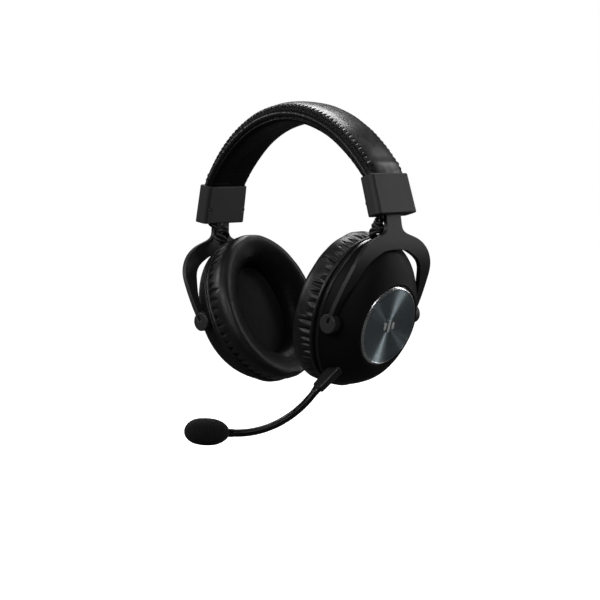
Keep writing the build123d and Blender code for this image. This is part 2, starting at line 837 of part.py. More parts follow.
with BuildPart() as mic_boot:
    with BuildSketch(mic_plane.offset(-1.3)):
        RectangleRounded(9.0, 6.8, 1.8)
    with BuildSketch(mic_plane.offset(boot_length - 1.5)):
        RectangleRounded(7.3, 6.1, 1.8)
    loft()
    with BuildSketch(mic_plane.offset(boot_length - 1.5)):
        Circle(boom_radius + 0.4)
    extrude(amount=1.5)
    add(boom_length(0.0, boom_joint_lengths[0], False, True))
save(mic_boot, "mic_boot")

for i in range(3):
    with BuildPart() as boom_link:
        add(boom_length(boom_joint_lengths[i], boom_joint_lengths[i + 1], True, True))
    save(boom_link, f"boom_link_{i + 1}")

with BuildPart() as last_link:
    add(boom_length(boom_joint_lengths[3], boom_arc_length, True, False))
    with BuildSketch(boom_frame(boom_arc_length)):
        Circle(neck_radius)
    extrude(amount=neck_length + capsule_inset)
save(last_link, "boom_link_4")

mic_frame = boom_frame(boom_arc_length).offset(neck_length)
capsule_radius = 4.6
capsule_length = 9.0
with BuildPart() as mic_capsule:
    with BuildSketch(mic_frame.offset(capsule_inset)):
        Circle(capsule_radius)
    extrude(amount=capsule_length)
    chamfer(mic_capsule.edges().group_by(Axis(mic_frame.origin, mic_frame.z_dir))[-1], length=0.8)
save(mic_capsule, "mic_capsule")

with BuildPart() as mic_foam:
    with BuildSketch(Plane(mic_frame.origin, x_dir=mic_frame.x_dir, z_dir=-mic_frame.y_dir)):
        with Locations((0, foam_length / 2 - 0.6)):
            Ellipse(foam_radius, foam_length / 2)
        with Locations((-foam_radius, foam_length / 2)):
            Rectangle(2 * foam_radius, 2 * foam_length, mode=Mode.SUBTRACT)
    revolve(axis=Axis(mic_frame.origin, mic_frame.z_dir))
    with BuildSketch(mic_frame.offset(capsule_inset)):
        Circle(capsule_radius)
    extrude(amount=capsule_length, mode=Mode.SUBTRACT)
    with BuildSketch(mic_frame.offset(-2)):
        Circle(neck_radius)
    extrude(amount=capsule_inset + 2, mode=Mode.SUBTRACT)
save(mic_foam, "mic_foam")

for length in boom_joint_lengths:
    frame = boom_frame(length)
    print("boom joint", tuple(round(v, 2) for v in frame.origin), "along", tuple(frame.z_dir))
print("slider centre", round(slider_cx, 3), round(slider_cz, 3), "bend", degrees(bend_angle))
print("mic exit", tuple(mic_exit), "along", tuple(mic_dir), "jack", tuple(jack_plane.origin))
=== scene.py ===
"""Looks for the over-ear gaming headset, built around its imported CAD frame.

Lengths in the shape code are millimetres and become metres in place().
+X is the wearer's left, -Y the front, +Z up. The left side is modelled and mirrored.
"""

import math

import bpy
import numpy as np
from mathutils import Matrix, Vector


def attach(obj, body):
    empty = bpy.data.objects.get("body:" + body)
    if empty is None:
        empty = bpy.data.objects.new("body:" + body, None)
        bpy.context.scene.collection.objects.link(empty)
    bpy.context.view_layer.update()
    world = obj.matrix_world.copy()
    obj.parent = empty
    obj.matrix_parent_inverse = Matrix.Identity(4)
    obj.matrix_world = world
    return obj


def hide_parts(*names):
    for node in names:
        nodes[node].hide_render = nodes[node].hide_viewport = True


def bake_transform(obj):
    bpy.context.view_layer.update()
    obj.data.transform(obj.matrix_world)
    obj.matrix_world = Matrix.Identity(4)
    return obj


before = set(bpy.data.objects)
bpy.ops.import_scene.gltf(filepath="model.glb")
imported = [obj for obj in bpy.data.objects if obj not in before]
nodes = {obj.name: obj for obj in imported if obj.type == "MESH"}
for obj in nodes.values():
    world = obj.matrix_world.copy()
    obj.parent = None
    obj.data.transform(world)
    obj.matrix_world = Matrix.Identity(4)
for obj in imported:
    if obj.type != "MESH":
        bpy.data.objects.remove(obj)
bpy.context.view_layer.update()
SIDES = (("left", 1), ("right", -1))
TAU = 2 * math.pi
MM = 0.001


# ---------------------------------------------------------------- geometry helpers
def smoothstep(t):
    t = np.clip(t, 0, 1)
    return t * t * (3 - 2 * t)


def ripple(angle, seed, low, high, power=1.0):
    """Seeded periodic noise between about -1 and 1, with low to high waves per turn."""
    rng = np.random.default_rng(seed)
    total = np.zeros_like(angle)
    weight = 0
    for k in range(low, high + 1):
        a = (low / k) ** power
        total = total + a * np.cos(k * angle + rng.uniform(0, TAU))
        weight += a * a
    return total / math.sqrt(weight)


def curve_through(points, count):
    """Catmull-Rom curve through the points, evenly resampled."""
    p = np.asarray(points, float)
    p = np.vstack([2 * p[0] - p[1], p, 2 * p[-1] - p[-2]])
    rows = []
    for i in range(1, len(p) - 2):
        t = np.linspace(0, 1, 24, endpoint=False)[:, None]
        a, b, c, d = p[i - 1], p[i], p[i + 1], p[i + 2]
        rows.append(
            0.5
            * (2 * b + (c - a) * t + (2 * a - 5 * b + 4 * c - d) * t**2 + (3 * b - a - 3 * c + d) * t**3)
        )
    rows.append(p[-2][None])
    dense = np.vstack(rows)
    gaps = np.r_[0, np.cumsum(np.linalg.norm(np.diff(dense, axis=0), axis=1))]
    want = np.linspace(0, gaps[-1], count)
    return np.stack([np.interp(want, gaps, dense[:, k]) for k in range(p.shape[1])], 1)


def path_frames(path):
    """Tangent and two steady normals at each point of a path."""
    tangent = np.gradient(path, axis=0)
    tangent /= np.linalg.norm(tangent, axis=1)[:, None]
    first = np.cross(tangent[0], (0.0, 1.0, 0.0))
    if np.linalg.norm(first) < 0.2:
        first = np.cross(tangent[0], (1.0, 0.0, 0.0))
    normals = []
    n = first / np.linalg.norm(first)
    for t in tangent:
        n = n - t * np.dot(n, t)
        n = n / np.linalg.norm(n)
        normals.append(n)
    normals = np.array(normals)
    return tangent, normals, np.cross(tangent, normals)


def place(name, verts, faces, mat, flip=False):
    """Mesh object from millimetre points, smooth shaded."""
    mesh = bpy.data.meshes.new(name)
    if flip:
        faces = [tuple(reversed(f)) for f in faces]
    mesh.from_pydata((np.asarray(verts) * MM).tolist(), [], [tuple(f) for f in faces])
    mesh.polygons.foreach_set("use_smooth", [True] * len(mesh.polygons))
    mesh.validate()
    mesh.update()
    obj = bpy.data.objects.new(name, mesh)
    bpy.context.collection.objects.link(obj)
    for m in mat if isinstance(mat, (list, tuple)) else [mat]:
        mesh.materials.append(m)
    return obj


def set_dull(obj, values):
    """How matt the leather is at each point: 0 keeps its gloss, 1 takes it away."""
    layer = obj.data.attributes.new("dull", "FLOAT", "POINT")
    layer.data.foreach_set("value", np.ascontiguousarray(values, dtype=np.float32).ravel())


def grid_faces(rows, columns, wrap_rows=False, wrap_columns=False, start=0):
    r = np.arange(rows if wrap_rows else rows - 1)
    c = np.arange(columns if wrap_columns else columns - 1)
    r, c = np.meshgrid(r, c, indexing="ij")
    r2, c2 = (r + 1) % rows, (c + 1) % columns
    quads = np.stack([r * columns + c, r * columns + c2, r2 * columns + c2, r2 * columns + c], -1)
    return (quads.reshape(-1, 4) + start).tolist()


def tube_mesh(path, radius, sides, start=0, squash=1.0):
    """Points and faces of a closed tube along a path."""
    _, n, b = path_frames(path)
    turn = np.linspace(0, TAU, sides, endpoint=False)
    radius = np.broadcast_to(radius, (len(path),))
    ring = (
        n[:, None] * np.cos(turn)[None, :, None] + squash * b[:, None] * np.sin(turn)[None, :, None]
    )
    points = path[:, None] + ring * radius[:, None, None]
    faces = grid_faces(len(path), sides, wrap_columns=True, start=start)
    last = start + (len(path) - 1) * sides
    faces.append([start + i for i in reversed(range(sides))])
    faces.append([last + i for i in range(sides)])
    return points.reshape(-1, 3), faces


def grid_normals(points, wrap_rows, wrap_columns):
    """Unit normals of a grid of points."""

    def slope(axis, wrap):
        if wrap:
            return np.roll(points, -1, axis) - np.roll(points, 1, axis)
        return np.gradient(points, axis=axis)

    n = np.cross(slope(0, wrap_rows), slope(1, wrap_columns))
    return n / np.maximum(np.linalg.norm(n, axis=-1, keepdims=True), 1e-9)


# ---------------------------------------------------------------- materials
class Shade:
    """One node material, built in a few calls."""

    def __init__(self, name):
        self.mat = bpy.data.materials.new(name)
        self.mat.use_nodes = True
        self.tree = self.mat.node_tree
        self.bsdf = self.tree.nodes["Principled BSDF"]
        self.coords = self.node("ShaderNodeTexCoord").outputs["Object"]

    def node(self, kind, inputs=None, **settings):
        made = self.tree.nodes.new(kind)
        for key, value in settings.items():
            setattr(made, key, value)
        for key, value in (inputs or {}).items():
            self.put(made.inputs[key], value)
        return made

    def put(self, socket, value):
        if isinstance(value, bpy.types.NodeSocket):
            self.tree.links.new(value, socket)
        else:
            socket.default_value = value

    def set(self, **values):
        for key, value in values.items():
            self.put(self.bsdf.inputs[key.replace("_", " ")], value)

    def noise(self, scale, detail=3.0, rough=0.55, stretch=None):
        vector = self.coords
        if stretch:
            vector = self.node("ShaderNodeMapping", {"Vector": vector, "Scale": stretch}).outputs[0]
        return self.node(
            "ShaderNodeTexNoise",
            {"Vector": vector, "Scale": scale, "Detail": detail, "Roughness": rough},
        ).outputs["Fac"]

    def cells(self, scale, feature="F1", random=1.0):
        return self.node(
            "ShaderNodeTexVoronoi",
            {"Vector": self.coords, "Scale": scale, "Randomness": random},
            feature=feature,
        ).outputs["Distance"]

    def ramp(self, fac, low, high, a=0.3, b=0.7):
        made = self.node(
            "ShaderNodeMapRange",
            {"Value": fac, "From Min": a, "From Max": b, "To Min": low, "To Max": high},
        )
        return made.outputs["Result"]

    def tint(self, fac, dark, light):
        made = self.node("ShaderNodeMix", data_type="RGBA")
        self.put(made.inputs["Factor"], fac)
        self.put(made.inputs["A"], (*dark, 1))
        self.put(made.inputs["B"], (*light, 1))
        return made.outputs["Result"]

    def bump(self, height, depth, normal=None, strength=1.0):
        made = self.node("ShaderNodeBump", {"Height": height, "Strength": strength, "Distance": depth})
        if normal is not None:
            self.put(made.inputs["Normal"], normal)
        return made.outputs["Normal"]

    def rounded(self, radius):
        return self.node("ShaderNodeBevel", {"Radius": radius}, samples=6).outputs["Normal"]


def scaled(tone, share):
    return tuple(share * c for c in tone)


def leatherette(name, tone, gloss):
    """Black protein leather: fine pebble, soft creases and slightly uneven gloss."""
    s = Shade(name)
    pebble = s.cells(1250, "SMOOTH_F1", 0.9)
    fine = s.noise(2600, 2.0)
    broad = s.noise(60, 3.0)
    crease = s.noise(210, 4.0, 0.6)
    dull = s.node("ShaderNodeAttribute", attribute_name="dull").outputs["Fac"]
    s.set(
        Base_Color=s.tint(s.ramp(broad, 0, 1), scaled(tone, 0.75), scaled(tone, 1.2)),
        Roughness=s.ramp(crease, gloss - 0.05, gloss + 0.1),
        Specular_IOR_Level=s.ramp(dull, 0.38, 0.06, 0, 1),
        Coat_Weight=s.ramp(dull, 0.08, 0.0, 0, 1),
        Coat_Roughness=0.3,
    )
    n = s.bump(pebble, 0.00011, strength=0.5)
    n = s.bump(fine, 0.00004, n, 0.5)
    n = s.bump(crease, 0.00022, n, 0.35)
    s.set(Normal=n)
    return s.mat


def moulded(name, tone, rough, grain=1.0, edge=0.0003, spec=0.45):
    """Moulded plastic with a fine spark-eroded texture."""
    s = Shade(name)
    speck = s.noise(3200, 2.0, 0.6)
    cloud = s.noise(45, 3.0)
    s.set(
        Base_Color=s.tint(s.ramp(cloud, 0, 1), scaled(tone, 0.88), scaled(tone, 1.12)),
        Roughness=s.ramp(speck, rough - 0.04, rough + 0.06),
        Specular_IOR_Level=spec,
        Normal=s.bump(speck, 0.00004 * grain, s.rounded(edge), 0.6),
    )
    return s.mat


def coated_metal(name, tone, rough):
    """Powder-coated metal: orange-peel ripple, with its edges painted lighter: partly a worn-thin coat,
    partly a painted edge highlight.
    """
    s = Shade(name)
    peel = s.noise(900, 2.0)
    cloud = s.noise(30, 4.0)
    round_normal = s.rounded(0.00055)
    sharp = s.node("ShaderNodeNewGeometry").outputs["Normal"]
    # the colour turns lighter where the bevelled normal parts from the sharp one: a painted highlight along
    # the edges, broken into patches of worn coat
    meet = s.node("ShaderNodeVectorMath", {0: round_normal, 1: sharp}, operation="DOT_PRODUCT")
    edge = s.ramp(meet.outputs["Value"], 1, 0, 0.86, 0.995)
    patches = s.ramp(s.noise(260, 4.0), 0.2, 1.0, 0.35, 0.6)
    wear_and_edge_highlight = s.node("ShaderNodeMath", {0: edge, 1: patches}, operation="MULTIPLY")
    worn_and_highlight_tone = tuple(3.2 * c + 0.03 for c in tone)
    base = s.node("ShaderNodeMix", data_type="RGBA")
    s.put(base.inputs["Factor"], wear_and_edge_highlight.outputs[0])
    s.put(base.inputs["A"], s.tint(s.ramp(cloud, 0, 1), scaled(tone, 0.9), scaled(tone, 1.1)))
    s.put(base.inputs["B"], (*worn_and_highlight_tone, 1))
    s.set(
        Base_Color=base.outputs["Result"],
        Roughness=s.ramp(peel, rough - 0.05, rough + 0.07),
        Metallic=0.25,
        Normal=s.bump(peel, 0.00003, round_normal, 0.6),
    )
    return s.mat


def metal(name, tone, rough, brushed=(1, 1, 1), edge=0.0002):
    """Bare metal with fine machining lines."""
    s = Shade(name)
    lines = s.noise(1500, 2.0, stretch=brushed)
    s.set(
        Base_Color=s.tint(s.ramp(lines, 0, 1), scaled(tone, 0.85), tone),
        Metallic=1.0,
        Roughness=s.ramp(lines, rough - 0.05, rough + 0.08),
        Normal=s.bump(lines, 0.00002, s.rounded(edge), 0.5),
    )
    return s.mat


def spun_metal(name, tone, rough):
    """Spun and anodised disc face: concentric tool lines and fan-shaped highlights."""
    s = Shade(name)
    split = s.node("ShaderNodeSeparateXYZ", {0: s.coords})
    flat = s.node("ShaderNodeCombineXYZ", {0: split.outputs[0], 1: split.outputs[1]})
    reach = s.node("ShaderNodeVectorMath", {0: flat.outputs[0]}, operation="LENGTH").outputs["Value"]
    lane = s.node("ShaderNodeTexNoise", {"W": reach, "Scale": 5200, "Detail": 3.0}, noise_dimensions="1D")
    rings = lane.outputs["Fac"]
    s.set(
        Base_Color=s.tint(s.ramp(rings, 0, 1), scaled(tone, 0.94), scaled(tone, 1.05)),
        Metallic=1.0,
        Roughness=s.ramp(rings, rough - 0.02, rough + 0.02),
        Anisotropic=1.0,
        Anisotropic_Rotation=0.25,
        Tangent=s.node("ShaderNodeTangent", direction_type="RADIAL", axis="Z").outputs[0],
        Normal=s.bump(rings, 0.000004, strength=0.4),
    )
    return s.mat


def foam_material(name, tone):
    """Open-cell acoustic foam."""
    s = Shade(name)
    pores = s.cells(1500, "F1")
    big = s.cells(700, "F1")
    # the colour is darkest where the pores bump sinks the surface: painted shade in the pits
    s.set(
        Base_Color=s.tint(s.ramp(pores, 0, 1, 0.1, 0.6), scaled(tone, 0.35), scaled(tone, 1.3)),
        Roughness=0.95,
        Specular_IOR_Level=0.25,
        Sheen_Weight=0.08,
        Sheen_Roughness=0.5,
        Normal=s.bump(big, 0.0003, s.bump(pores, 0.00025, strength=0.9), 0.6),
    )
    return s.mat


def scrim_material(name, tone):
    """Thin woven acoustic cloth."""
    s = Shade(name)
    waves = []
    for axis in ("Y", "Z"):
        wave = s.node(
            "ShaderNodeTexWave",
            {"Vector": s.coords, "Scale": 420.0, "Distortion": 0.4, "Detail": 1.0, "Detail Scale": 2.0},
            bands_direction=axis,
        )
        waves.append(wave.outputs["Fac"])
    weave = s.node("ShaderNodeMath", {0: waves[0], 1: waves[1]}, operation="MULTIPLY").outputs[0]
    # the colour is darker where the weave bump sinks between the threads: painted shade in the gaps of the
    # weave
    s.set(
        Base_Color=s.tint(weave, scaled(tone, 0.4), tone),
        Roughness=0.85,
        Specular_IOR_Level=0.25,
        Sheen_Weight=0.05,
        Normal=s.bump(weave, 0.00012, strength=0.8),
    )
    return s.mat


def rubber(name, tone, rough):
    s = Shade(name)
    speck = s.noise(2200, 2.0)
    s.set(
        Base_Color=s.tint(speck, scaled(tone, 0.8), scaled(tone, 1.2)),
        Roughness=s.ramp(speck, rough - 0.05, rough + 0.08),
        Specular_IOR_Level=0.4,
        Normal=s.bump(speck, 0.00003, strength=0.5),
    )
    return s.mat


mats = {
    "leather": leatherette("headset_leatherette", (0.0055, 0.0055, 0.006), 0.34),
    "pad": leatherette("pad_leatherette", (0.005, 0.005, 0.0055), 0.4),
    "thread": rubber("seam_thread_and_shade", (0.005, 0.005, 0.005), 0.5),
    "shell": moulded("cup_shell_plastic", (0.0045, 0.0045, 0.005), 0.56, spec=0.14),
    "block": moulded("end_block_plastic", (0.014, 0.014, 0.0144), 0.55, edge=0.0005),
    "trim": moulded("trim_plastic", (0.012, 0.012, 0.0125), 0.27, 0.5, edge=0.0002),
    "hidden": moulded("inner_plastic", (0.03, 0.03, 0.031), 0.5),
    "fork": coated_metal("fork_coating", (0.014, 0.014, 0.0144), 0.5),
    "cap": coated_metal("pivot_cap_coating", (0.022, 0.022, 0.0225), 0.52),
    "screw": metal("blackened_steel", (0.09, 0.09, 0.092), 0.35),
    "spring": metal("spring_steel", (0.55, 0.55, 0.56), 0.25, (1, 8, 1)),
    "magnet": metal("nickel_plate", (0.6, 0.59, 0.57), 0.22),
    "face": spun_metal("disc_face", (0.3, 0.36, 0.385), 0.3),
    "rim": metal("disc_rim", (0.8, 0.81, 0.82), 0.22),
    "mark": metal("mark_silver", (0.95, 0.95, 0.96), 0.5, edge=0.0001),
    "grille": coated_metal("grille_coating", (0.02, 0.02, 0.02), 0.5),
    "film": moulded("diaphragm_film", (0.09, 0.085, 0.07), 0.25, 0.3),
    "board": moulded("circuit_board_mask", (0.012, 0.07, 0.03), 0.35, 0.5),
    "gold": metal("gold_plate", (0.85, 0.66, 0.32), 0.2),
    "cable": rubber("cable_jacket", (0.006, 0.006, 0.0065), 0.42),
    "neck": rubber("gooseneck_sleeve", (0.0025, 0.0025, 0.0028), 0.15),
    "foam": foam_material("windscreen_foam", (0.0055, 0.0055, 0.0058)),
    "scrim": scrim_material("ear_scrim", (0.002, 0.002, 0.0021)),
}

NODE_MATERIAL = {
    "headband_spring": "spring", "headband_wire": "cable", "block_outer": "block", "block_inner": "block",
    "block_screws": "screw", "slider_guide": "hidden", "click_springs": "spring", "fork": "fork",
    "pivot_caps": "cap", "pivot_pins": "screw", "lead_grommet": "cable", "cup_shell": "shell",
    "jack_socket": "hidden", "mic_socket": "hidden", "circuit_board": "board", "level_mark": "mark",
    "baffle": "hidden", "cup_screws": "screw", "trim_ring": "trim", "pad_ring": "trim",
    "driver_frame": "hidden", "driver_magnet": "magnet", "diaphragm": "film", "driver_grille": "grille",
    "mic_boot": "trim", "mic_plug": "gold", "mic_capsule": "screw",
}
for name, obj in nodes.items():
    key = name.removesuffix("_left").removesuffix("_right")
    if key in NODE_MATERIAL:
        obj.data.materials.clear()
        obj.data.materials.append(mats[NODE_MATERIAL[key]])


# ---------------------------------------------------------------- frames shared with the CAD
LEAN, TILT, HEADING = (math.radians(v) for v in (13, 19, 18))  # end block, cup and microphone boom
BLOCK = (
    np.array([75.45, 0, -51.7]),
    np.array([0, 1.0, 0]),
    np.array([-math.sin(LEAN), 0, math.cos(LEAN)]),
    np.array([math.cos(LEAN), 0, math.sin(LEAN)]),
)
CUP = (
    np.array([57.0, 0, -132.8]),
    np.array([0, 1.0, 0]),
    np.array([math.sin(TILT), 0, math.cos(TILT)]),
    np.array([math.cos(TILT), 0, -math.sin(TILT)]),
)


def local(axes, x, y, z):
    """Points given in a tilted frame, in the millimetres of the whole object."""
    origin, ax, ay, az = axes
    x, y, z = (np.asarray(v, float)[..., None] for v in (x, y, z))
    return origin + x * ax + y * ay + z * az


def sided(points, side):
    """The left-hand points, or their mirror image."""
    return points * np.array([side, 1, 1])


# ---------------------------------------------------------------- camera and light
def add_camera():
    azimuth, pitch, roll = (math.radians(v) for v in (41.063, 3.1305, -2.4707))
    flat = Vector((math.cos(azimuth), math.sin(azimuth), 0))
    level = Vector((-math.sin(azimuth), math.cos(azimuth), 0))
    ahead = math.cos(pitch) * level - math.sin(pitch) * Vector((0, 0, 1))
    high = flat.cross(ahead)
    right = math.cos(roll) * flat + math.sin(roll) * high
    up = math.cos(roll) * high - math.sin(roll) * flat
    cam = bpy.data.cameras.new("camera")
    cam.lens, cam.sensor_width = 93.3, 36
    cam.clip_start, cam.clip_end = 0.01, 50
    obj = bpy.data.objects.new("camera", cam)
    bpy.context.collection.objects.link(obj)
    turn = Matrix((right, up, -ahead)).transposed().to_4x4()
    obj.matrix_world = Matrix.Translation((0.6984, -0.8074, -0.0622)) @ turn
    bpy.context.scene.camera = obj


add_camera()


def softbox(name, spot, target, size, power):
    """Rectangular lamp at spot, turned to the target and hidden from view."""
    lamp = bpy.data.lights.new(name, "AREA")
    lamp.shape, lamp.size, lamp.size_y = "RECTANGLE", size[0], size[1]
    lamp.energy = power
    obj = bpy.data.objects.new(name, lamp)
    bpy.context.collection.objects.link(obj)
    obj.location = spot
    obj.visible_camera = False
    obj.rotation_euler = (Vector(target) - Vector(spot)).to_track_quat("-Z", "Y").to_euler()


def distant_light(name, toward, strength, angle):
    """Soft light from far away, which comes from the direction toward."""
    lamp = bpy.data.lights.new(name, "SUN")
    lamp.energy, lamp.angle = strength, math.radians(angle)
    obj = bpy.data.objects.new(name, lamp)
    bpy.context.collection.objects.link(obj)
    obj.rotation_euler = Vector(toward).to_track_quat("Z", "Y").to_euler()


middle = Vector((0, 0, -0.1))
distant_light("sky_light", (0.35, -0.5, 1.0), 0.2, 60)
softbox("key_light", (1.12, -0.5, 0.45), middle, (0.3, 0.3), 2.2)
softbox("front_light", (0.42, -1.05, 0.4), middle, (0.3, 0.3), 2.8)
softbox("front_left_light", (-0.15, -1.1, 0.35), middle, (0.25, 0.35), 2.2)
softbox("top_light", (-0.3, 0.5, 0.85), middle, (0.55, 0.3), 9.0)
softbox("back_light", (0.42, 0.9, 0.55), middle, (0.3, 0.3), 1.6)
softbox("left_light", (-0.95, -0.75, 0.55), middle, (0.25, 0.4), 4.0)
softbox("left_rim", (-1.1, 0.45, 0.2), middle, (0.2, 0.8), 0.9)
softbox("disc_strip", (0.63, 1.13, -0.02), middle, (0.22, 0.8), 3.6)

world = bpy.data.worlds.new("studio")
world.use_nodes = True
sky = world.node_tree.nodes["Background"]
sky.inputs["Color"].default_value = (1, 1, 1, 1)
# the paper background is seen at full white but lights the object only a little
seen = world.node_tree.nodes.new("ShaderNodeLightPath")
level = world.node_tree.nodes.new("ShaderNodeMapRange")
level.inputs["To Min"].default_value, level.inputs["To Max"].default_value = 0.03, 1.0
world.node_tree.links.new(seen.outputs["Is Camera Ray"], level.inputs["Value"])
world.node_tree.links.new(level.outputs["Result"], sky.inputs["Strength"])
bpy.context.scene.world = world
bpy.context.scene.view_settings.view_transform = "Standard"

floor_shade = Shade("floor_paper")
# the paper is near white to look at, and throws little light back at the black object
looked_at = floor_shade.node("ShaderNodeLightPath").outputs["Is Camera Ray"]
floor_shade.set(
    Base_Color=floor_shade.tint(looked_at, (0.05, 0.05, 0.05), (0.86, 0.86, 0.86)),
    Roughness=0.85,
    Emission_Color=(1, 1, 1, 1),
    Emission_Strength=floor_shade.ramp(looked_at, 0.0, 0.97, 0, 1),
    Normal=floor_shade.bump(floor_shade.noise(400), 0.0002, strength=0.2),
)
FLOOR_HALF, FLOOR_Z = 6000.0, -300
corners = [(x * FLOOR_HALF, y * FLOOR_HALF, FLOOR_Z) for x, y in ((-1, -1), (1, -1), (1, 1), (-1, 1))]
floor = place("floor", corners, [(0, 1, 2, 3)], floor_shade.mat)


# ---------------------------------------------------------------- headband pad
ARCH_HALF_WIDTH, ARCH_RISE, ARCH_BASE = 96.0, 131.0, -121.6
PROFILE_SCALE = 7.5  # mm of padding to one share, used to space points along the profile


def arch(angle, lift):
    """Headband seam line in XZ, lift mm outside it."""
    nx, nz = np.cos(angle) / ARCH_HALF_WIDTH, np.sin(angle) / ARCH_RISE
    n = np.hypot(nx, nz)
    x = ARCH_HALF_WIDTH * np.cos(angle) + lift * nx / n
    z = ARCH_BASE + ARCH_RISE * np.sin(angle) + lift * nz / n
    return x, z


# Half cross-section from the middle of the top to the middle of the underside: y in mm,
# and height as a share of the padding above or below the seam line.
TOP_PANEL = [(0, 1.0), (4, 0.985), (8, 0.935), (11.5, 0.83), (13.8, 0.71), (15.4, 0.58), (16.4, 0.45)]
SEAM_BAND = [(16.6, 0.4), (17.2, 0.21), (17.7, 0.0), (17.8, -0.1)]
PIPING = [(18.1, -0.13), (18.75, -0.2), (19.0, -0.31), (18.75, -0.43), (18.0, -0.52), (17.2, -0.565)]
UNDERSIDE = [(17.3, -0.6), (18.0, -0.67), (17.9, -0.78), (16.6, -0.89), (13.6, -0.965), (9, -0.995), (0, -1)]
true_scale = np.array([1, PROFILE_SCALE])
outline = np.array(TOP_PANEL + SEAM_BAND + PIPING + UNDERSIDE)
band_profile = curve_through(outline * true_scale, 150) / true_scale
band_share = np.linspace(0, 1, len(band_profile))
share_of = {}
for label, spot in (("panel_edge", (16.4, 0.45)), ("seam_top", (16.6, 0.4)), ("seam_end", (17.8, -0.1)),
                    ("piping_end", (17.2, -0.565))):
    miss = np.hypot(band_profile[:, 0] - spot[0], (band_profile[:, 1] - spot[1]) * PROFILE_SCALE)
    share_of[label] = band_share[miss.argmin()]


def band_lift(angle, height):
    """Distance from the seam line: the padding is fullest at the crown."""
    share = np.clip((angle - math.radians(34)) / math.radians(112), 0, 1)
    fullness = np.sin(math.pi * share) ** 0.6
    return np.where(height > 0, (3.0 + 2.6 * fullness) * height, (5.0 + 4.4 * fullness) * height)


def band_first_angle(height):
    """Angle at which a line along the band reaches the top of the left end block."""
    block_top = 13.35
    low, high = np.full_like(height, math.radians(30)), np.full_like(height, math.radians(60))
    for _ in range(30):
        mid = (low + high) / 2
        x, z = arch(mid, band_lift(mid, height))
        above = (x - BLOCK[0][0]) * BLOCK[2][0] + (z - BLOCK[0][2]) * BLOCK[2][2] > block_top
        high = np.where(above, mid, high)
        low = np.where(above, low, mid)
    return high


band_starts = band_first_angle(band_profile[:, 1])


def band_point(t, s, side):
    """Point of the headband cover: t along it from the left end, s across its half profile."""
    y = np.interp(s, band_share, band_profile[:, 0])
    height = np.interp(s, band_share, band_profile[:, 1])
    first = np.interp(s, band_share, band_starts)
    angle = first + t * (math.pi - 2 * first)
    x, z = arch(angle, band_lift(angle, height))
    return np.stack([x, side * y + 0 * x, z], -1)


STITCHES = 54


def band_relief(t, s, side):
    """How far the cover stands off its smooth form, in mm."""
    edge, top, end = share_of["panel_edge"], share_of["seam_top"], share_of["seam_end"]
    place_in_stitch = (t * STITCHES) % 1.0
    off_hole = np.abs(place_in_stitch - 0.5) * 2
    into_panel = np.clip((edge - s) / 0.085, 0, 1)
    pinch = np.exp(-((off_hole / (0.62 - 0.5 * into_panel)) ** 2)) * (1 - into_panel) ** 0.8
    puff = 0.22 * (1 - pinch) * np.exp(-((into_panel / 0.5) ** 2))
    relief = -0.75 * pinch * (s <= edge) + puff * (s <= edge)
    in_seam = smoothstep((s - edge + 0.004) / 0.016) * smoothstep((end + 0.006 - s) / 0.016)
    relief = relief - in_seam * (0.75 - 0.25 * (1 - off_hole))
    pipe = smoothstep((s - end) / 0.03) * smoothstep((share_of["piping_end"] - s) / 0.03)
    relief = relief + pipe * 0.07 * ripple(t * TAU, 5 + side, 20, 60)
    under = smoothstep((s - share_of["piping_end"]) / 0.08)
    near_end = np.minimum(t, 1 - t)
    creases = np.exp(-((near_end / 0.09) ** 2)) * ripple(t * TAU, 9 + side, 30, 60)
    relief = relief + under * (0.12 * ripple(t * TAU, 8 + side, 2, 7) + 0.16 * creases - 0.2)
    tuck = 0.55 * np.exp(-(((near_end - 0.034) / 0.018) ** 2)) - 0.55 * np.exp(-((near_end / 0.009) ** 2))
    gathered = np.exp(-((near_end / 0.02) ** 2)) * 0.05 * np.cos(s * 40 + 3 * side)
    return relief + (s < edge) * (tuck + gathered + 0.1 * ripple(t * TAU, 21, 3, 12))


def build_headband():
    rows = 900
    t = np.linspace(0, 1, rows)[:, None]
    s = np.linspace(0, 1, 110)
    s = np.sort(np.r_[s, np.linspace(share_of["panel_edge"] - 0.03, share_of["piping_end"] + 0.02, 40)])
    halves = []
    for side in (1, -1):
        line = s if side > 0 else s[::-1][1:-1]
        points = band_point(t, line[None, :], side)
        halves.append((points, band_relief(t, line[None, :], side)))
    points = np.concatenate([h[0] for h in halves], 1)
    relief = np.concatenate([np.broadcast_to(h[1], h[0].shape[:2]) for h in halves], 1)
    normal = grid_normals(points, False, True)
    if np.dot(normal[rows // 2, 0], (0, 0, 1)) < 0:
        normal = -normal
    points = points + normal * relief[..., None]
    columns = points.shape[1]
    faces = grid_faces(rows, columns, wrap_columns=True)
    faces.append(list(range(columns)))
    faces.append([(rows - 1) * columns + i for i in reversed(range(columns))])
    materials = [mats["leather"], mats["thread"]]
    cover = place("headband_cover", points.reshape(-1, 3), faces, materials, flip=True)
    across = np.r_[s, s[::-1][1:-1]]
    # faces of the sunk seam band take the thread material, a little darker and matter than the leather:
    # partly the dark thread that fills the band, partly painted shade in the recess
    sunk = (across > share_of["panel_edge"]) & (across < share_of["seam_end"])
    cover.data.polygons.foreach_set("material_index", [int(sunk[f[0] % columns]) for f in faces])
    matt = smoothstep((across - share_of["piping_end"] + 0.01) / 0.05)
    set_dull(cover, np.broadcast_to(matt, (rows, columns)))
    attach(cover, "headband")
    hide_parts("headband_pad")


